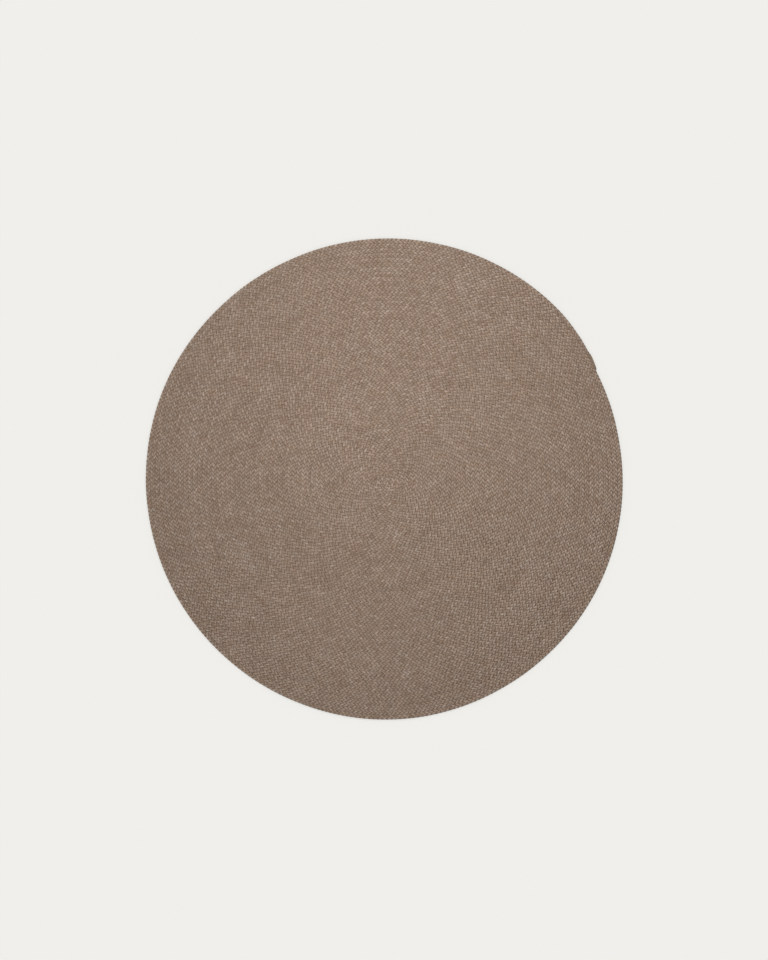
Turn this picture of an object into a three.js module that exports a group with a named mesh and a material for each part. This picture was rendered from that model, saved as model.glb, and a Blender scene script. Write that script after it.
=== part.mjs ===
// A round rug made of one long three-strand braid of synthetic yarn, wound flat from the middle
// outwards and sewn edge to edge. It lies flat on the floor, right side up.
// Millimetres, +Z up. The origin is on the floor, under the middle of the rug's outline.
// Seen from above, the braid winds outwards clockwise and ends at the rug's upper right.
import * as THREE from "three";

// The braid, and how far its winding reaches where it ends
const braidWidth = 14.84;
const braidThickness = 9;
const seamDepth = 2.6;
const windingRadius = 757.4;

// Where the braid ends, in degrees counterclockwise from +X
const endAngle = 27.5;

// How the outermost turn strays from an even spiral: waves round the rug, each with its height
// and the angle of its first crest. Inner turns stray in proportion to their size.
const outlineWaves = [
  { waves: 1, height: 5.1, crestAt: 16 },
  { waves: 2, height: 1.4, crestAt: 74.5 },
  { waves: 3, height: 1.4, crestAt: 55.7 },
  { waves: 4, height: 0.75, crestAt: -16.2 },
  { waves: 5, height: 0.35, crestAt: -22 },
  { waves: 6, height: 0.53, crestAt: -20.8 },
];

// The thinned end of the braid, sewn down along the turn inside it: how far it stands proud of that
// turn at each distance back from its tip. It has a rounded knob, a waist and then a long taper.
const tail = [
  { back: 0, proud: 0 },
  { back: 7, proud: 4.1 },
  { back: 20, proud: 5.9 },
  { back: 33, proud: 7.7 },
  { back: 46, proud: 9.1 },
  { back: 66, proud: 8.1 },
  { back: 86, proud: 9.7 },
  { back: 99, proud: 11 },
  { back: 126, proud: 11.8 },
  { back: 152, proud: 13 },
  { back: 178, proud: 14.2 },
  { back: 205, proud: braidWidth },
];
const tailThickness = 7.6;

// The rounded outer side of the last turn, from its shoulder down to the floor
const rim = [
  { inset: 1.4, height: 7.2 },
  { inset: 0, height: 4.5 },
  { inset: 0.9, height: 1.5 },
  { inset: 2.8, height: 0 },
];

// The middle: the braid's start is curled tight, so its first seam opens out of a smooth button.
const firstSeamTurn = 0.25;
const firstCrestTurn = 0.75;
const openingTurns = 0.5;

// Cross-sections round the rug. The outermost turns have the most, and inner ones keep every
// second or fourth of them, so that all of them line up along the same rays.
const stepsPerTurn = 72;
const fineTurns = 19;
const mediumTurns = 38;

const radians = Math.PI / 180;
const stepAngle = 360 / stepsPerTurn;

// A place along the braid is a count of steps back from its end. Its turn is counted from the middle.
const turnAt = (steps) => windingRadius / braidWidth - steps / stepsPerTurn;
const distanceBack = (steps) => steps * stepAngle * radians * windingRadius;
const stepsBack = (distance) => distance / (stepAngle * radians * windingRadius);

function between(low, high, share) {
  return low + (high - low) * Math.min(Math.max(share, 0), 1);
}

function widthAt(steps) {
  const back = distanceBack(steps);
  const next = tail.findIndex((point) => point.back > back);
  if (next < 0) {
    return braidWidth;
  }
  const before = tail[next - 1];
  const share = (back - before.back) / (tail[next].back - before.back);
  return between(before.proud, tail[next].proud, share);
}

const positions = [];
const faces = [];

function addPoint(steps, radius, height) {
  const angle = endAngle + steps * stepAngle;
  let stray = 0;
  for (const wave of outlineWaves) {
    stray += wave.height * Math.cos(wave.waves * (angle - wave.crestAt) * radians);
  }
  const reach = radius * (1 + stray / windingRadius);
  positions.push(reach * Math.cos(angle * radians), reach * Math.sin(angle * radians), height);
  return positions.length / 3 - 1;
}

function addFace(a, b, c) {
  if (a !== b && b !== c && c !== a) {
    faces.push(a, b, c);
  }
}

// Fills the strip between two rows of points that run side by side, outwards along the braid.
// A row's points have their places along the braid as steps, counted down to the braid's end.
function join(inner, outer) {
  let i = 0;
  let o = 0;
  while (i < inner.length - 1 || o < outer.length - 1) {
    const innerIsNext =
      o === outer.length - 1 ||
      (i < inner.length - 1 && inner[i + 1].steps >= outer[o + 1].steps);
    if (innerIsNext) {
      addFace(inner[i].point, inner[i + 1].point, outer[o].point);
      i += 1;
    } else {
      addFace(inner[i].point, outer[o + 1].point, outer[o].point);
      o += 1;
    }
  }
}

// The cross-sections along the whole braid, from the middle out to its end. The tail's own shape
// adds one wherever it bends.
function crossSections() {
  const found = tail.map((point) => stepsBack(point.back));
  let steps = 1;
  while (turnAt(steps) >= firstSeamTurn) {
    const turnsIn = steps / stepsPerTurn;
    if (turnsIn > 1 || distanceBack(steps) > tail.at(-1).back) {
      found.push(steps);
    }
    steps += turnsIn < fineTurns ? 1 : turnsIn < mediumTurns ? 2 : 4;
  }
  return found.sort((a, b) => b - a);
}

const sections = crossSections();
const centre = { steps: Infinity, point: addPoint(0, 0, braidThickness) };

// The seam on the outer side of each turn, up to where the last turn begins
const seam = [];
const seamStart = turnAt(sections[0]);
for (const steps of sections.filter((place) => place >= stepsPerTurn)) {
  const turn = turnAt(steps);
  const depth = between(0, seamDepth, (turn - seamStart) / openingTurns);
  seam.push({ steps, point: addPoint(steps, turn * braidWidth, braidThickness - depth) });
}

// The last turn's rim, one row of points for each line of the rim's table. Every row starts on the
// ray of the braid's end and comes back to its own first point there, where the tail has no width.
const lastTurn = sections.filter((place) => place < stepsPerTurn && place > 0);
const closing = seam.at(-1);
const rimRows = rim.map((line, row) => {
  const startRadius = turnAt(stepsPerTurn) * braidWidth - line.inset;
  const start = row === 0 ? closing.point : addPoint(stepsPerTurn, startRadius, line.height);
  const points = [{ steps: stepsPerTurn, point: start }];
  for (const steps of lastTurn) {
    const width = widthAt(steps);
    const radius = (turnAt(steps) - 1) * braidWidth + width - (line.inset * width) / braidWidth;
    points.push({ steps, point: addPoint(steps, radius, line.height) });
  }
  points.push({ steps: 0, point: start });
  return points;
});

// The crest along the middle of every turn. It sinks a little where the tail is thin.
const crest = [];
for (const steps of sections.filter((place) => turnAt(place) >= firstCrestTurn && place > 0)) {
  const width = widthAt(steps);
  const height = between(tailThickness, braidThickness, width / braidWidth);
  crest.push({ steps, point: addPoint(steps, (turnAt(steps) - 1) * braidWidth + width / 2, height) });
}
crest.push({ steps: 0, point: closing.point });

// The upper side: the inner and the outer half of every turn
const seamInside = seam.map(({ steps, point }) => ({ steps: steps - stepsPerTurn, point }));
join([centre, ...seamInside], crest);
join([centre, ...crest], [...seam, ...rimRows[0].slice(1)]);

// The outer side, then the flat underside
for (let row = 1; row < rimRows.length; row += 1) {
  join(rimRows[row - 1], rimRows[row]);
}
const foot = rimRows.at(-1);
const underCentre = addPoint(0, 0, 0);
for (let index = 1; index < foot.length; index += 1) {
  addFace(underCentre, foot[index - 1].point, foot[index].point);
}

function braidedSpiral() {
  const geometry = new THREE.BufferGeometry();
  geometry.setAttribute("position", new THREE.Float32BufferAttribute(positions, 3));
  geometry.setIndex(faces);
  geometry.computeBoundingBox();
  const middle = geometry.boundingBox.getCenter(new THREE.Vector3());
  geometry.translate(-middle.x, -middle.y, 0);
  geometry.computeVertexNormals();
  return geometry;
}

const yarn = new THREE.MeshStandardMaterial({ color: 0x8d7a6b, roughness: 0.95, metalness: 0 });
const rug = new THREE.Mesh(braidedSpiral(), yarn);
rug.name = "rug";

const object = new THREE.Group();
object.add(rug);
export default object;
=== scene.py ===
"""A round rug made of one long three-strand braid, wound flat in a spiral and sewn edge to edge.

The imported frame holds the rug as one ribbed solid. Here it is the braid itself, with every leaf
of the plait on both sides, in five stretches cut along the braid's length.
"""
import math

import bpy
import numpy as np
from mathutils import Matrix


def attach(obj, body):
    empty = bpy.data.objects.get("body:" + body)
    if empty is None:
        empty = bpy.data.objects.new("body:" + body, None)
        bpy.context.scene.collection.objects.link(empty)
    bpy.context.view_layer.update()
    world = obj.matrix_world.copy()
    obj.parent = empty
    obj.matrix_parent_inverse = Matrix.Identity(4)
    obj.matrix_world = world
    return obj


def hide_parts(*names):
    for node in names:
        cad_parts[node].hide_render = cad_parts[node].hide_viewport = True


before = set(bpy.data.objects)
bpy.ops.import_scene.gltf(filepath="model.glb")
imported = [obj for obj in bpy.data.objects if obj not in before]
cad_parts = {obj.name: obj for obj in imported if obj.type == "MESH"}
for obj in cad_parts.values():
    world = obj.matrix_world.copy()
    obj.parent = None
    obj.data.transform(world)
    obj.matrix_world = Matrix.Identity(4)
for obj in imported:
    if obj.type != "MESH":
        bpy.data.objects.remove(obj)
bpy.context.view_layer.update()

MM = 0.001
TURN = 2 * math.pi

# The braid and its winding, the same as the solid's. END_ANGLE is where the braid's end lies, seen
# from the winding's middle.
BRAID_WIDTH = 14.84 * MM
BRAID_THICKNESS = 9 * MM
WINDING_RADIUS = 757.4 * MM
END_ANGLE = math.radians(27.5)

# How the outermost turn strays from an even spiral: waves round the rug, each with its height and
# the angle of its first crest in degrees
OUTLINE_WAVES = (
    (1, 5.1 * MM, 16),
    (2, 1.4 * MM, 74.5),
    (3, 1.4 * MM, 55.7),
    (4, 0.75 * MM, -16.2),
    (5, 0.35 * MM, -22),
    (6, 0.53 * MM, -20.8),
)

# The spiral starts START_TURNS of a turn from its middle. In the first turn the braid's inner side
# is the middle itself, and the inner seam opens over a share OPENING of the next one. The first
# turns overlap a little, so that no floor shows between them. Lengths along the spiral are added
# up over TABLE_PLACES places.
START_TURNS = 0.03
OPENING = 0.2
FIRST_OVERLAP = 0.5 * MM
OVERLAP_TURNS = 4
TABLE_PLACES = 240_001

# The thinned end of the braid: distance back from its tip, and how wide it is there. Where the
# braid is narrow it is a little thinner too, and its leaves are shorter. In the last TIP_LENGTH it
# thins out.
TAIL_BACK = np.array([0, 2, 4, 7, 20, 33, 42, 50, 66, 86, 99, 126, 152, 178, 205]) * MM
TAIL_WIDTH = np.array([0.8, 2.4, 3.3, 4.1, 5.9, 7.7, 9, 9, 8.1, 9.7, 11, 11.8, 13, 14.2, 14.84]) * MM
THIN_SHARE = 0.84
TIP_LENGTH = 7 * MM
TIP_SHARE = 0.12
SHORTEST_LEAF = 0.45

# The plait. Each strand crosses the braid and back once in three leaves, and rises and sinks twice.
# Its path is followed in small steps.
STRANDS = 3
LEAF_LENGTH = 13.37 * MM
STRAND_SWING = 3.7 * MM
STRAND_RISE = 1.4 * MM
STRAND_WIDTH = 7.4 * MM
STRAND_DEPTH = 5.6 * MM
PATH_STEPS = 1441

# How the mesh follows the leaves. The middle of the plait is a zigzag, and the creases between the
# leaves run from its corners to the seams, leaning forward more and more. The sewn plait is pushed
# up along its length, which takes part of that lean away, and its inner side is tucked in by a
# share of half the braid's width, which puts the zigzag nearer to the inner seam. All this fades
# out over the last PLAIN_END leaves at both ends.
ZIGZAG = 1.5 * MM
FIRST_CREASE = 11.15 * MM
CREASE_LEAN = 4.3 * MM
CREASE_CURL = 5.6 * MM
CURL_POWER = 3.5
PUSHED_UP = 0.85
TUCKED_IN = 0.04
PLAIN_END = 3

# Where the mesh has its points: rows on the upper and the lower side, as shares of the way from
# the middle to a seam, below 0 on the inner side, and stations along a leaf, as shares of it. All
# the leaves are too many for one piece, so the braid is cut into stretches.
UPPER_ROWS = np.array([-1, -0.85, -0.6, -0.3, 0, 0.3, 0.6, 0.85, 1])
LOWER_ROWS = np.array([1, 0.62, -0.62, -1])
LEAF_STATIONS = np.array([0, 0.2, 0.5, 0.8])
STRETCHES = 5

# How a stretch lies on its UV map: cut into strips laid side by side, with its ends in one more.
# The step at a seam is given a little of a strip's width, as a share of half the braid's.
MAP_STRIPS = 27
MAP_MARGIN = 0.02
MAP_SEAM_STEP = 0.15

# Beside a seam the strands' loops press against the next turn's, so the plait stays higher there.
# Heights are shares of a crown's. Where the next turn covers less than BARE_BELOW of the braid's
# outer side, that is the rug's rim: it is lower, and the loops stand out as scallops. In the
# middle of the rug the braid is filled up.
BESIDE_SEAM_FROM = 0.5
LOOP_RELIEF = 0.57
NOTCH_RELIEF = 0.3
BARE_BELOW = 0.5
RIM_SHARE = 0.4
SCALLOP = 0.8 * MM
FILLED_RELIEF = 0.85

# Handwork isn't even: seams wander, crowns and leaves vary in height, and leaves stretch, shift
# and lean. A spacing is how often a new random value comes, in metres along the braid, but in
# leaves for the shift and the lean.
SEED = 51
LEAF_SEED = 5
SEAM_WANDER = 0.35 * MM
SEAM_SPACING = 0.09
CROWN_WANDER = 0.25 * MM
CROWN_SPACING = 0.16
LEAF_JITTER = 0.45 * MM
LEAF_STRETCH = 0.08
STRETCH_SPACING = 0.22
LEAF_SHIFT = 0.09
SHIFT_SPACING = 1.6
LEAN_SHIFT = 0.14
LEAN_SPACING = 1.3


def eased(share):
    """A smooth step from 0 to 1."""
    share = np.clip(share, 0, 1)
    return share * share * (3 - 2 * share)


def wander(place, spacing, seed):
    """A smooth random curve between -1 and 1, with a new random value at each spacing."""
    knots = np.random.default_rng(SEED + seed).uniform(-1, 1, int(place.max() / spacing) + 3)
    knot = np.floor(place / spacing).astype(int)
    share = eased(place / spacing - knot)
    return knots[knot] * (1 - share) + knots[knot + 1] * share


class Winding:
    """The spiral. A place along the braid is its winding angle, in radians from the middle."""

    def __init__(self):
        self.last = TURN * WINDING_RADIUS / BRAID_WIDTH
        self.first = START_TURNS * TURN
        self.table = np.linspace(self.first, self.last, TABLE_PLACES)
        middle = (self.inner(self.table) + self.outer(self.table)) / 2
        width = self.width(self.table)
        steps = np.hypot(middle[1:] * np.diff(self.table), np.diff(middle))
        self.distances = np.concatenate([[0], np.cumsum(steps)])
        uneven = 1 + LEAF_STRETCH * wander(self.distances, STRETCH_SPACING, seed=1)
        shortened = np.sqrt(np.clip(width / BRAID_WIDTH, SHORTEST_LEAF**2, 1))
        leaves = np.cumsum(steps / (LEAF_LENGTH * uneven * shortened)[1:])
        self.leaf_count = round(leaves[-1])
        self.leaves = np.concatenate([[0], leaves]) * self.leaf_count / leaves[-1]
        started = eased((self.table - self.first) / TURN)
        self.seam_curve = SEAM_WANDER * wander(self.distances, SEAM_SPACING, seed=2) * started

    def width(self, winding):
        """The braid's width: less in its thinned end and in the first turn."""
        back = (self.last - winding) * WINDING_RADIUS
        tapered = np.interp(back, TAIL_BACK, TAIL_WIDTH)
        return np.minimum(tapered, BRAID_WIDTH * winding / TURN)

    def covered(self, winding):
        """How much of the braid's outer side the next turn covers: none on the last turn."""
        following = winding + TURN
        cover = np.clip(self.width(following) / BRAID_WIDTH, 0, 1)
        return np.where(following < self.last, np.sqrt(cover), 0)

    def inner(self, winding):
        """The inner seam's radius."""
        turn = winding / TURN - 1
        return BRAID_WIDTH * np.maximum(turn, 0) * eased(turn / OPENING)

    def outer(self, winding):
        """The outer seam's radius."""
        grown = BRAID_WIDTH * np.maximum(winding / TURN - 1, 0)
        overlap = FIRST_OVERLAP * (1 - eased(winding / TURN / OVERLAP_TURNS))
        return grown + self.width(winding) + overlap

    def seam_stray(self, winding):
        """How far the outer seam wanders outwards."""
        return np.interp(winding, self.table, self.seam_curve)

    def at_leaf(self, leaves):
        """The place at this many leaves along the braid."""
        return np.interp(leaves, self.leaves, self.table)

    def distance_at(self, leaves):
        """The length of braid up to this many leaves."""
        return np.interp(leaves, self.leaves, self.distances)

    def laid(self, winding, radius):
        """x and y from the winding's own middle."""
        angle = END_ANGLE + self.last - winding
        stray = sum(
            height * np.cos(waves * (angle - math.radians(crest)))
            for waves, height, crest in OUTLINE_WAVES
        )
        reach = radius * (1 + stray / WINDING_RADIUS)
        return reach * np.cos(angle), reach * np.sin(angle)

    def outline_middle(self):
        """The middle of the outline's box, from the winding's own middle."""
        last_turn = self.table[self.table >= self.last - TURN]
        x, y = self.laid(last_turn, self.outer(last_turn))
        return (x.min() + x.max()) / 2, (y.min() + y.max()) / 2


def plait_height(across, along):
    """How far the plait's upper side stands over its middle plane: the highest of three strands,
    each a ball-nosed sweep along its own path."""
    best = np.zeros(across.shape)
    turns = np.linspace(-1, 2, PATH_STEPS)
    for strand in range(STRANDS):
        swing = TURN * (turns + strand / STRANDS)
        side = STRAND_SWING * np.sin(swing)
        rise = STRAND_RISE * np.sin(2 * swing)
        ahead = along[..., None] - turns * STRANDS * LEAF_LENGTH
        off = np.hypot(ahead, across[..., None] - side) / (STRAND_WIDTH / 2)
        top = rise + STRAND_DEPTH / 2 * np.sqrt(np.clip(1 - off**2, 0, 1))
        best = np.maximum(best, np.where(off < 1, top, 0).max(-1))
    return best


def lean(share):
    """How many leaves forward a crease has run at this share of the way to a seam."""
    return (CREASE_LEAN * share + CREASE_CURL * share**CURL_POWER) / LEAF_LENGTH


def zigzag_at(phase):
    """The plait's middle line, as a share of half the braid's width."""
    return ZIGZAG * np.cos(TURN * phase) / (BRAID_WIDTH / 2)


def leaf_relief(rows):
    """The plait's height at each row and each station of a leaf, as a share of its highest."""
    phase, share = np.meshgrid(LEAF_STATIONS, rows)
    middle = zigzag_at(phase)
    across = (middle + np.abs(share) * (np.sign(share) - middle)) * BRAID_WIDTH / 2
    along = FIRST_CREASE + (phase + lean(np.abs(share))) * LEAF_LENGTH
    height = plait_height(across, np.mod(along, STRANDS * LEAF_LENGTH))
    relief = height / (STRAND_RISE + STRAND_DEPTH / 2)
    loop = np.sin(math.pi * (phase + (share < 0) / 2)) ** 2
    pressed = NOTCH_RELIEF + (LOOP_RELIEF - NOTCH_RELIEF) * loop
    return np.where(np.abs(share) > BESIDE_SEAM_FROM, np.maximum(relief, pressed), relief)


def leaf_bulk(labels, share, side, count, distance):
    """How far each leaf, and the crowns about it, stand above or below the even plait."""
    leaf = np.floor(labels + (share < 0) / 2).astype(int)
    own = np.random.default_rng(SEED + LEAF_SEED + side).uniform(-1, 1, (2, count + 2))
    crowns = CROWN_WANDER * wander(distance, CROWN_SPACING, seed=3)
    return LEAF_JITTER * own[int(share < 0), leaf] + crowns


def row_points(winding, labels, share, relief, side):
    """One row of points along the braid, at this share of the way from its middle to a seam.
    The relief is that of the four stations of a leaf, and side is 1 above and -1 below."""
    # Where along the braid
    count = winding.leaf_count
    whole = eased(np.minimum(labels, count - labels) / PLAIN_END)
    shift = LEAF_SHIFT * wander(labels, SHIFT_SPACING, seed=11)
    leaning = wander(labels, LEAN_SPACING, seed=12 + int(share < 0))
    shift = shift + abs(share) * LEAN_SHIFT * leaning
    place = labels + (PUSHED_UP * lean(abs(share)) + shift) * whole
    place = np.clip(place, 0, count)
    angle = winding.at_leaf(place)
    distance = winding.distance_at(place)

    # Where across it
    inner = winding.inner(angle) + winding.seam_stray(angle - TURN)
    outer = winding.outer(angle) + winding.seam_stray(angle)
    middle = (zigzag_at(labels) - TUCKED_IN) * whole
    across = middle + abs(share) * (np.sign(share) - middle)
    radius = inner + (1 + across) / 2 * (outer - inner)
    bare = (1 - winding.covered(angle)) * (share == 1)
    radius = radius - SCALLOP * bare * np.cos(math.pi * labels) ** 2

    # How high
    height = relief[np.arange(len(labels)) % len(LEAF_STATIONS)]
    height = height * (1 - (1 - RIM_SHARE) * bare)
    if share < 0:
        in_the_middle = 1 - eased(radius / BRAID_WIDTH)
        height = np.maximum(height, FILLED_RELIEF * in_the_middle)
    bulk = leaf_bulk(labels, share, side, count, distance)
    height = height * (1 + bulk / (BRAID_THICKNESS / 2))
    from_end = winding.distances[-1] - distance
    tip = np.sqrt(np.clip(from_end / TIP_LENGTH, TIP_SHARE, 1))
    full = winding.width(angle) / BRAID_WIDTH
    thick = BRAID_THICKNESS * tip * (THIN_SHARE + (1 - THIN_SHARE) * full)
    x, y = winding.laid(angle, radius)
    return np.stack([x, y, thick / 2 * (1 + side * np.minimum(height, 1))], 1)


def ring_shares():
    """The rows round the braid: over its upper side from the inner seam to the outer one, and
    back under its lower side."""
    upper = [(share, 1) for share in UPPER_ROWS]
    lower = [(share, -1) for share in LOWER_ROWS]
    return upper + lower


def braid_points(winding):
    """All points, as stations along the braid by rows round it, and each point's plait values:
    the leaf label and the share of the way to a seam."""
    labels = np.arange(winding.leaf_count)[:, None] + LEAF_STATIONS
    labels = np.append(labels.ravel(), winding.leaf_count)
    ring = ring_shares()
    reliefs = leaf_relief(np.array([share for share, _ in ring]))
    rows = [
        row_points(winding, labels, share, relief, side)
        for (share, side), relief in zip(ring, reliefs)
    ]
    points = np.stack(rows, 1)
    middle_x, middle_y = winding.outline_middle()
    points -= (middle_x, middle_y, 0)
    shares = np.broadcast_to([share for share, _ in ring], points.shape[:2])
    return points, np.broadcast_to(labels[:, None], points.shape[:2]), shares


def inset(share):
    """The share moved in from 0 and 1 by the map's margin."""
    return MAP_MARGIN + (1 - 2 * MAP_MARGIN) * share


def map_places(labels):
    """Where the corners of a stretch's faces lie on its UV map: four for each piece of its side,
    and then three for each piece of its two ends."""
    shares = np.array([share for share, _ in ring_shares()])
    steps = np.maximum(np.abs(np.diff(shares, append=shares[0])), MAP_SEAM_STEP)
    around = np.concatenate([[0], np.cumsum(steps)]) / steps.sum()
    near, far = around[:-1], around[1:]

    along = labels[:, 0] / math.ceil(labels.max() / MAP_STRIPS)
    strip = np.floor(along[:-1])
    start, end = along[:-1] - strip, along[1:] - strip
    across_strip = np.stack([near, near, far, far], 1)[None] * np.ones((len(strip), 1, 1))
    up_strip = np.stack([start, end, end, start], 1)[:, None] * np.ones((1, len(near), 1))
    sides = np.stack([up_strip, strip[:, None, None] + inset(across_strip)], 3).reshape(-1, 2)

    tip = np.full(len(near), 0.5)
    base = np.full(len(near), MAP_STRIPS + MAP_MARGIN)
    height = np.stack([base, base, base + 1 - 2 * MAP_MARGIN], 1)
    fan = inset(np.stack([near, far, tip], 1))
    backwards = inset(np.stack([far, near, tip], 1))
    start_fan = np.stack([fan / 2, height], 2).reshape(-1, 2)
    end_fan = np.stack([(backwards + 1) / 2, height], 2).reshape(-1, 2)
    places = np.concatenate([sides, start_fan, end_fan])
    return places / (1, MAP_STRIPS + 1)


def tube_faces(stations, rows):
    """The corners of a closed tube's faces, and how many each face has: four for each piece of
    its side, and three for each piece of its two ends. The points in the middle of the ends come
    after the rings' points."""
    index = np.arange(stations * rows).reshape(stations, rows)
    following = np.roll(index, -1, 1)
    quads = np.stack([index[:-1], index[1:], following[1:], following[:-1]], 2).reshape(-1, 4)
    start, end = stations * rows, stations * rows + 1
    start_cap = np.stack([index[0], following[0], np.full(rows, start)], 1)
    end_cap = np.stack([following[-1], index[-1], np.full(rows, end)], 1)
    caps = np.concatenate([start_cap, end_cap])
    corners = np.concatenate([quads.ravel(), caps.ravel()])
    sizes = np.concatenate([np.full(len(quads), 4), np.full(len(caps), 3)])
    return corners, sizes


def sharpen_edges(mesh, stations, rows, bare):
    """Makes the two seams and the ends sharp, so that the two sides are shaded apart. The rim is
    round, so where the outer side is bare it stays smooth."""
    edges = np.empty(2 * len(mesh.edges), dtype=np.int32)
    mesh.edges.foreach_get("vertices", edges)
    edges = edges.reshape(-1, 2)
    row = edges % rows
    station = edges // rows
    same_row = row[:, 0] == row[:, 1]
    at_inner_seam = same_row & np.isin(row[:, 0], (0, rows - 1))
    at_outer_seam = same_row & np.isin(row[:, 0], (len(UPPER_ROWS) - 1, len(UPPER_ROWS)))
    at_outer_seam &= ~np.append(bare, [False, False])[station[:, 0]]
    at_end = (station[:, 0] == station[:, 1]) & np.isin(station[:, 0], (0, stations - 1))
    sharp = at_inner_seam | at_outer_seam | at_end
    mesh.attributes.new("sharp_edge", "BOOLEAN", "EDGE").data.foreach_set("value", sharp)


def stretch_mesh(name, points, labels, shares, bare):
    """A closed tube through these rings of points, with a point in the middle of each end. At the
    bare stations its outer side is the rug's rim."""
    stations, rows = labels.shape
    corners, sizes = tube_faces(stations, rows)
    ends = np.array([points[0].mean(0), points[-1].mean(0)])

    mesh = bpy.data.meshes.new(name)
    mesh.vertices.add(stations * rows + 2)
    mesh.vertices.foreach_set("co", np.concatenate([points.reshape(-1, 3), ends]).ravel())
    mesh.loops.add(len(corners))
    mesh.loops.foreach_set("vertex_index", corners)
    mesh.polygons.add(len(sizes))
    mesh.polygons.foreach_set("loop_start", np.cumsum(sizes) - sizes)
    mesh.update(calc_edges=True)
    uv_map = mesh.uv_layers.new(name="OFBake", do_init=False)
    uv_map.uv.foreach_set("vector", map_places(labels).astype(np.float32).ravel())

    # The points in the middle of the ends are on the plait's middle line
    plait = np.stack([labels, shares, np.zeros(labels.shape)], 2).reshape(-1, 3)
    plait = np.concatenate([plait, plait[:1] * (1, 0, 0), plait[-1:] * (1, 0, 0)])
    mesh.attributes.new("plait", "FLOAT_VECTOR", "POINT").data.foreach_set("vector", plait.ravel())
    sharpen_edges(mesh, stations, rows, bare)
    return mesh


class Nodes:
    """A short way to write a material's nodes."""

    def __init__(self, name):
        self.material = bpy.data.materials.new(name)
        self.material.use_nodes = True
        self.tree = self.material.node_tree
        self.shader = self.tree.nodes["Principled BSDF"]

    def add(self, kind, inputs=(), output=0, **settings):
        node = self.tree.nodes.new(kind)
        for key, value in settings.items():
            setattr(node, key, value)
        for key, value in dict(inputs).items():
            self.set(node.inputs[key], value)
        return node.outputs[output]

    def set(self, socket, value):
        if isinstance(value, bpy.types.NodeSocket):
            self.tree.links.new(value, socket)
        else:
            socket.default_value = value

    def math(self, operation, *values):
        return self.add("ShaderNodeMath", enumerate(values), operation=operation)

    def plus(self, *values):
        total = values[0]
        for value in values[1:]:
            total = self.math("ADD", total, value)
        return total

    def times(self, *values):
        total = values[0]
        for value in values[1:]:
            total = self.math("MULTIPLY", total, value)
        return total

    def minus(self, a, b):
        return self.math("SUBTRACT", a, b)

    def vector(self, x, y, z=0):
        return self.add("ShaderNodeCombineXYZ", {"X": x, "Y": y, "Z": z})

    def ramp(self, value, low, high, out_low=0, out_high=1):
        inputs = {0: value, 1: low, 2: high, 3: out_low, 4: out_high}
        return self.add("ShaderNodeMapRange", inputs, interpolation_type="SMOOTHSTEP")

    def random(self, vector, dimensions):
        inputs = {"Vector": vector}
        return self.add("ShaderNodeTexWhiteNoise", inputs, "Value", noise_dimensions=dimensions)

    def noise(self, vector, scale, **more):
        return self.add("ShaderNodeTexNoise", {"Vector": vector, "Scale": scale, **more})

    def varied(self, value, amount):
        """A factor round 1 from a value between 0 and 1."""
        return self.plus(1, self.times(self.minus(value, 0.5), amount))

    def darkened(self, value, amount):
        """A factor that falls from 1 by the amount as the value goes from 0 to 1."""
        return self.minus(1, self.times(value, amount))


# The yarn's colour, and how much each thing varies its brightness. One strand is a little paler.
YARN_COLOUR = (0.2073, 0.1562, 0.1218)
LEAF_TONE = 0.23
STRAND_TONE = 0.07
FIBRE_TONE = 0.3
PLY_TONE = 0.5
# Painted shade between the round plies, darkest at each ply's edge
PLY_PAINTED_SHADE = 0.22
TWIST_TONE = 0.06
RING_TONE = 0.23
MOTTLE_TONE = 0.22
# Painted shade in the creases between leaves, along the zigzag and at the seams
OUTER_CREASE_PAINTED_SHADE = 0.64
INNER_CREASE_PAINTED_SHADE = 0.6
INNER_DARK = 0.068
ZIGZAG_PAINTED_SHADE = 0.42
SEAM_PAINTED_SHADE = 0.36

# How far the painted shade of a crease reaches, in leaves, that of the zigzag, as a share of the
# way from it to a seam, and where on that way the painted shade of a seam begins. The two reaches
# also set how wide the bump's grooves are.
CREASE_REACH = 0.24
ZIGZAG_REACH = 0.24
SEAM_PAINTED_SHADE_FROM = 0.85

# Darker yarn, and the painted shade in the creases, zigzag, seams and plies, is warmer: the power
# of the tone in red, green and blue. The hue drifts a little.
DEEPENING = (0.79, 1, 1.24)
HUE_DRIFT = 0.105

# How fine the spots are: fibres in a leaf's length and on each side of the braid, and patches of
# tone and of hue in a metre. The turns' own tone changes RINGS_PER_METRE times in a metre
# outwards, and TURN * RING_REACH times round a turn.
FIBRES_ALONG = 90
FIBRES_ACROSS = 9
MOTTLES = 12
HUE_SPOTS = 36
RINGS_PER_METRE = 14
RING_REACH = 0.7
SPOT_DETAIL = 3
SPOT_ROUGHNESS = 0.6
RING_DETAIL = 2
HUE_DETAIL = 1

# The yarn's relief
PLIES = 5
PLY_DEPTH = 0.45 * MM
TWISTS = 5
TWIST_SLANT = 0.9
TWIST_DEPTH = 0.1 * MM
CREASE_DEPTH = 0.5 * MM
FIBRE_DEPTH = 0.15 * MM

# The yarn's finish
ROUGHNESS = 0.82
FIBRE_ROUGHNESS = 0.14
SHEEN = 0.12
SHEEN_ROUGHNESS = 0.5
SPECULAR = 0.3


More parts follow.
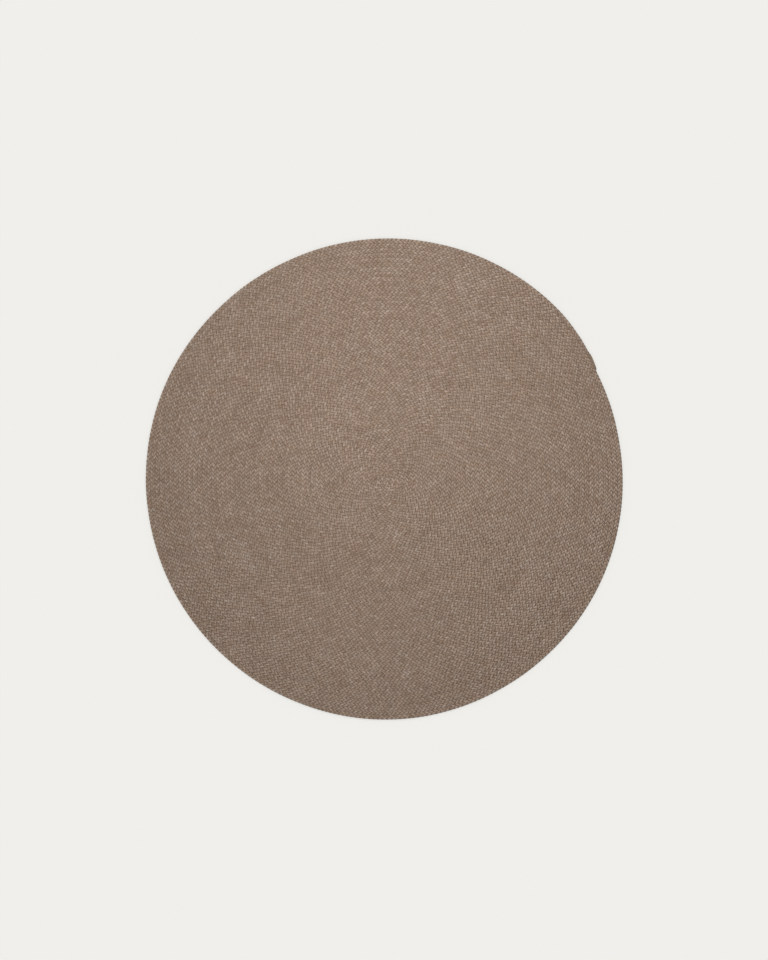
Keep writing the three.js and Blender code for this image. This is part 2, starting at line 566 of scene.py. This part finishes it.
class Yarn(Nodes):
    """Matte synthetic yarn: each strand a band of twisted plies, with creases between leaves."""

    def __init__(self):
        super().__init__("braided yarn")
        self.find_leaf()
        self.find_creases()
        self.twist_plies()
        self.spread_spots()
        colour = self.colour(self.tone())
        bump = self.add(
            "ShaderNodeBump", {"Height": self.height(), "Distance": 1.0, "Strength": 1.0}
        )
        inputs = self.shader.inputs
        self.set(inputs["Base Color"], colour)
        rougher = self.times(self.fibre, FIBRE_ROUGHNESS)
        self.set(inputs["Roughness"], self.plus(ROUGHNESS, rougher))
        self.set(inputs["Normal"], bump)
        self.set(inputs["Sheen Weight"], SHEEN)
        self.set(inputs["Sheen Roughness"], SHEEN_ROUGHNESS)
        self.set(inputs["Specular IOR Level"], SPECULAR)

    def find_leaf(self):
        """Which leaf a point is on, and where on it: from -0.5 to 0.5 across, and from 0 to 1
        outwards."""
        plait = self.add("ShaderNodeAttribute", output="Vector", attribute_name="plait")
        parts = self.add("ShaderNodeSeparateXYZ", {0: plait}).node.outputs
        self.label, self.share = parts["X"], parts["Y"]
        self.inner_side = self.math("LESS_THAN", self.share, 0)
        shifted = self.plus(self.label, self.times(self.inner_side, 0.5))
        self.leaf = self.math("FLOOR", shifted)
        self.across = self.minus(self.minus(shifted, self.leaf), 0.5)
        self.outwards = self.math("ABSOLUTE", self.share)
        first_strand = self.minus(STRANDS - 1, self.inner_side)
        strand = self.math("FLOORED_MODULO", self.minus(first_strand, self.leaf), STRANDS)
        self.pale_strand = self.math("LESS_THAN", strand, 0.5)
        self.leaf_random = self.random(self.vector(self.leaf, self.inner_side), "2D")

    def find_creases(self):
        """Where painted shade falls in the creases beside the leaf, the zigzag and the seam."""
        beside = self.minus(0.5, self.math("ABSOLUTE", self.across))
        self.crease = self.ramp(beside, 0, CREASE_REACH, 1, 0)
        self.middle = self.ramp(self.outwards, 0, ZIGZAG_REACH, 1, 0)
        self.seam = self.ramp(self.outwards, SEAM_PAINTED_SHADE_FROM, 1)

    def twist_plies(self):
        """Plies side by side along the strand, each a twist of fibres."""
        lane = self.times(self.plus(self.across, 0.5), PLIES)
        ply = self.math("FLOOR", lane)
        beside_ply = self.minus(self.minus(lane, ply), 0.5)
        self.roundness = self.minus(1, self.times(beside_ply, beside_ply, 4))
        self.ply_random = self.random(self.vector(self.leaf, self.inner_side, ply), "3D")
        slanted = self.times(beside_ply, TWIST_SLANT)
        turned = self.plus(self.times(self.outwards, TWISTS), slanted, self.ply_random)
        self.twist = self.math("COSINE", self.times(turned, TURN))
        fibre_place = self.vector(
            self.times(self.label, FIBRES_ALONG), self.times(self.share, FIBRES_ACROSS)
        )
        self.fibre = self.noise(fibre_place, 1, Detail=SPOT_DETAIL, Roughness=SPOT_ROUGHNESS)

    def spread_spots(self):
        """Patches of tone and hue over the whole rug. Turns differ a little in tone, for longer
        along a turn than from one turn to the next."""
        position = self.add("ShaderNodeTexCoord", output="Object")
        self.mottle = self.noise(position, MOTTLES, Detail=SPOT_DETAIL, Roughness=SPOT_ROUGHNESS)
        self.hue = self.noise(position, HUE_SPOTS, Detail=HUE_DETAIL)
        reach = self.add("ShaderNodeVectorMath", {0: position}, "Value", operation="LENGTH")
        direction = self.add("ShaderNodeVectorMath", {0: position}, operation="NORMALIZE")
        bearing = self.add(
            "ShaderNodeVectorMath", {0: direction, "Scale": RING_REACH}, operation="SCALE"
        )
        ring_place = self.times(reach, RINGS_PER_METRE)
        self.rings = self.add(
            "ShaderNodeTexNoise",
            {"Vector": bearing, "W": ring_place, "Scale": 1, "Detail": RING_DETAIL},
            noise_dimensions="4D",
        )

    def tone(self):
        """How bright the yarn is, round 1, with painted shade in creases, zigzag, seams and plies.
        """
        strand_tone = self.times(self.pale_strand, STRAND_TONE)
        ply_painted_shade = self.times(self.roundness, PLY_PAINTED_SHADE)
        inner_shade_change = self.times(self.inner_side, INNER_CREASE_PAINTED_SHADE - OUTER_CREASE_PAINTED_SHADE)
        crease_painted_shade = self.plus(OUTER_CREASE_PAINTED_SHADE, inner_shade_change)
        return self.times(
            self.varied(self.leaf_random, LEAF_TONE),
            self.plus(1 - STRAND_TONE / STRANDS, strand_tone),
            self.varied(self.fibre, FIBRE_TONE),
            self.varied(self.ply_random, PLY_TONE),
            # Painted shade between the round plies
            self.plus(1 - PLY_PAINTED_SHADE, ply_painted_shade),
            self.plus(1, self.times(self.twist, TWIST_TONE)),
            self.varied(self.mottle, MOTTLE_TONE),
            self.varied(self.rings, RING_TONE),
            # Painted shade in the creases, along the zigzag and at the seams
            self.darkened(self.crease, crease_painted_shade),
            self.darkened(self.middle, ZIGZAG_PAINTED_SHADE),
            self.darkened(self.seam, SEAM_PAINTED_SHADE),
            self.darkened(self.inner_side, INNER_DARK),
        )

    def colour(self, tone):
        """The yarn's colour at this brightness."""
        red, green, blue = (
            self.times(self.math("POWER", tone, power), channel)
            for power, channel in zip(DEEPENING, YARN_COLOUR)
        )
        drift = self.times(self.minus(self.hue, 0.5), HUE_DRIFT)
        warmer = self.times(red, self.plus(1, drift))
        cooler = self.times(blue, self.minus(1, drift))
        return self.vector(warmer, green, cooler)

    def height(self):
        """The relief of the plies, fibres and creases, in metres."""
        groove = self.math("MAXIMUM", self.crease, self.middle)
        raised = self.plus(
            self.times(self.roundness, PLY_DEPTH),
            self.times(self.twist, self.roundness, TWIST_DEPTH),
            self.times(self.fibre, FIBRE_DEPTH),
        )
        return self.minus(raised, self.times(groove, CREASE_DEPTH))


def lay_braid(winding):
    """The five stretches of braid, each a closed piece. Each counts its leaves from 0, so all but
    the last have a whole number of rounds of the strands."""
    yarn = Yarn()
    points, labels, shares = braid_points(winding)
    bare = winding.covered(winding.at_leaf(labels[:, 0])) < BARE_BELOW
    per_leaf = len(LEAF_STATIONS)
    leaves = STRANDS * round(winding.leaf_count / STRETCHES / STRANDS)
    pieces = []
    for number in range(STRETCHES):
        first = number * leaves
        last = winding.leaf_count if number == STRETCHES - 1 else first + leaves
        span = slice(first * per_leaf, last * per_leaf + 1)
        name = f"braid_{number + 1}"
        mesh = stretch_mesh(name, points[span], labels[span] - first, shares[span], bare[span])
        piece = bpy.data.objects.new(name, mesh)
        bpy.context.scene.collection.objects.link(piece)
        mesh.materials.append(yarn.material)
        length = winding.distance_at(last) - winding.distance_at(first)
        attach(piece, "root")
        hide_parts("rug")
        pieces.append(piece)
    return pieces


# The floor, the dome and a soft sun from above
FLOOR_SIZE = 14
FLOOR_COLOUR = (0.8, 0.792, 0.763)
FLOOR_GLOW = 0.458
DOME_STRENGTH = 0.32
SUN_STRENGTH = 1.0
SUN_SPREAD = math.radians(40)
SUN_ELEVATION = math.radians(78)
SUN_AZIMUTH = math.radians(90)

# A strip lamp over the rug's far half lights the rug alone, as on the photo's cut-out background
LAMP_AT = (0.063, 0.595, 1.48)
LAMP_WIDTH = 0.3
LAMP_LENGTH = 2
LAMP_POWER = 31

# So does a slanting light from the left. Because the leaves lean, it shades a turn's outer and
# inner side most apart at the upper left.
SLANT_STRENGTH = 2.1
SLANT_SPREAD = math.radians(20)
SLANT_ELEVATION = math.radians(35)
SLANT_AZIMUTH = math.radians(175)

# The camera looks straight down, and stands aside from the winding's own middle by CAMERA_ASIDE.
# The picture's height takes in FRAME_HEIGHT of the floor.
FRAME_HEIGHT = 3.005
CAMERA_HEIGHT = 9
CAMERA_REACH = 100
SENSOR = 36
CAMERA_ASIDE = (-0.94 * MM, 1.57 * MM)


def lay_floor():
    mesh = bpy.data.meshes.new("floor")
    half = FLOOR_SIZE / 2
    corners = [(-half, -half, 0), (half, -half, 0), (half, half, 0), (-half, half, 0)]
    mesh.from_pydata(corners, [], [(0, 1, 2, 3)])
    floor = bpy.data.objects.new("floor", mesh)
    bpy.context.scene.collection.objects.link(floor)
    n = Nodes("pale floor")
    n.set(n.shader.inputs["Base Color"], (*FLOOR_COLOUR, 1))
    n.set(n.shader.inputs["Roughness"], 1)
    n.set(n.shader.inputs["Specular IOR Level"], 0)
    n.set(n.shader.inputs["Emission Color"], (*FLOOR_COLOUR, 1))
    n.set(n.shader.inputs["Emission Strength"], FLOOR_GLOW)
    mesh.materials.append(n.material)


def hang_lamp(name, kind, strength):
    lamp = bpy.data.objects.new(name, bpy.data.lights.new(name, kind))
    lamp.data.energy = strength
    bpy.context.scene.collection.objects.link(lamp)
    return lamp


def sun(name, strength, spread, elevation, azimuth):
    """A sun whose light comes from this elevation and azimuth, which is counted from +X."""
    lamp = hang_lamp(name, "SUN", strength)
    lamp.data.angle = spread
    lamp.rotation_euler = (0, math.pi / 2 - elevation, azimuth)
    return lamp


def strip_lamp():
    lamp = hang_lamp("lamp", "AREA", LAMP_POWER)
    lamp.data.shape = "RECTANGLE"
    lamp.data.size = LAMP_WIDTH
    lamp.data.size_y = LAMP_LENGTH
    lamp.location = LAMP_AT
    lamp.visible_camera = False
    return lamp


def light(pieces):
    """The dome and the soft sun light everything, and the other two lamps the rug alone."""
    world = bpy.data.worlds.new("soft dome")
    world.use_nodes = True
    background = world.node_tree.nodes["Background"]
    background.inputs["Color"].default_value = (1, 1, 1, 1)
    background.inputs["Strength"].default_value = DOME_STRENGTH
    bpy.context.scene.world = world
    sun("soft sun", SUN_STRENGTH, SUN_SPREAD, SUN_ELEVATION, SUN_AZIMUTH)

    lit = bpy.data.collections.new("the rug alone")
    for piece in pieces:
        lit.objects.link(piece)
    slant = sun("slant", SLANT_STRENGTH, SLANT_SPREAD, SLANT_ELEVATION, SLANT_AZIMUTH)
    for lamp in (slant, strip_lamp()):
        lamp.light_linking.receiver_collection = lit


def camera(winding):
    data = bpy.data.cameras.new("camera")
    data.sensor_width = SENSOR
    data.lens = SENSOR * CAMERA_HEIGHT / FRAME_HEIGHT
    data.clip_end = CAMERA_REACH
    view = bpy.data.objects.new("camera", data)
    middle_x, middle_y = winding.outline_middle()
    aside_x, aside_y = CAMERA_ASIDE
    view.location = (aside_x - middle_x, aside_y - middle_y, CAMERA_HEIGHT)
    bpy.context.scene.collection.objects.link(view)
    bpy.context.scene.camera = view


winding = Winding()
camera(winding)
lay_floor()
light(lay_braid(winding))
bpy.context.scene.view_settings.view_transform = "Standard"
bpy.context.scene.view_settings.look = "None"
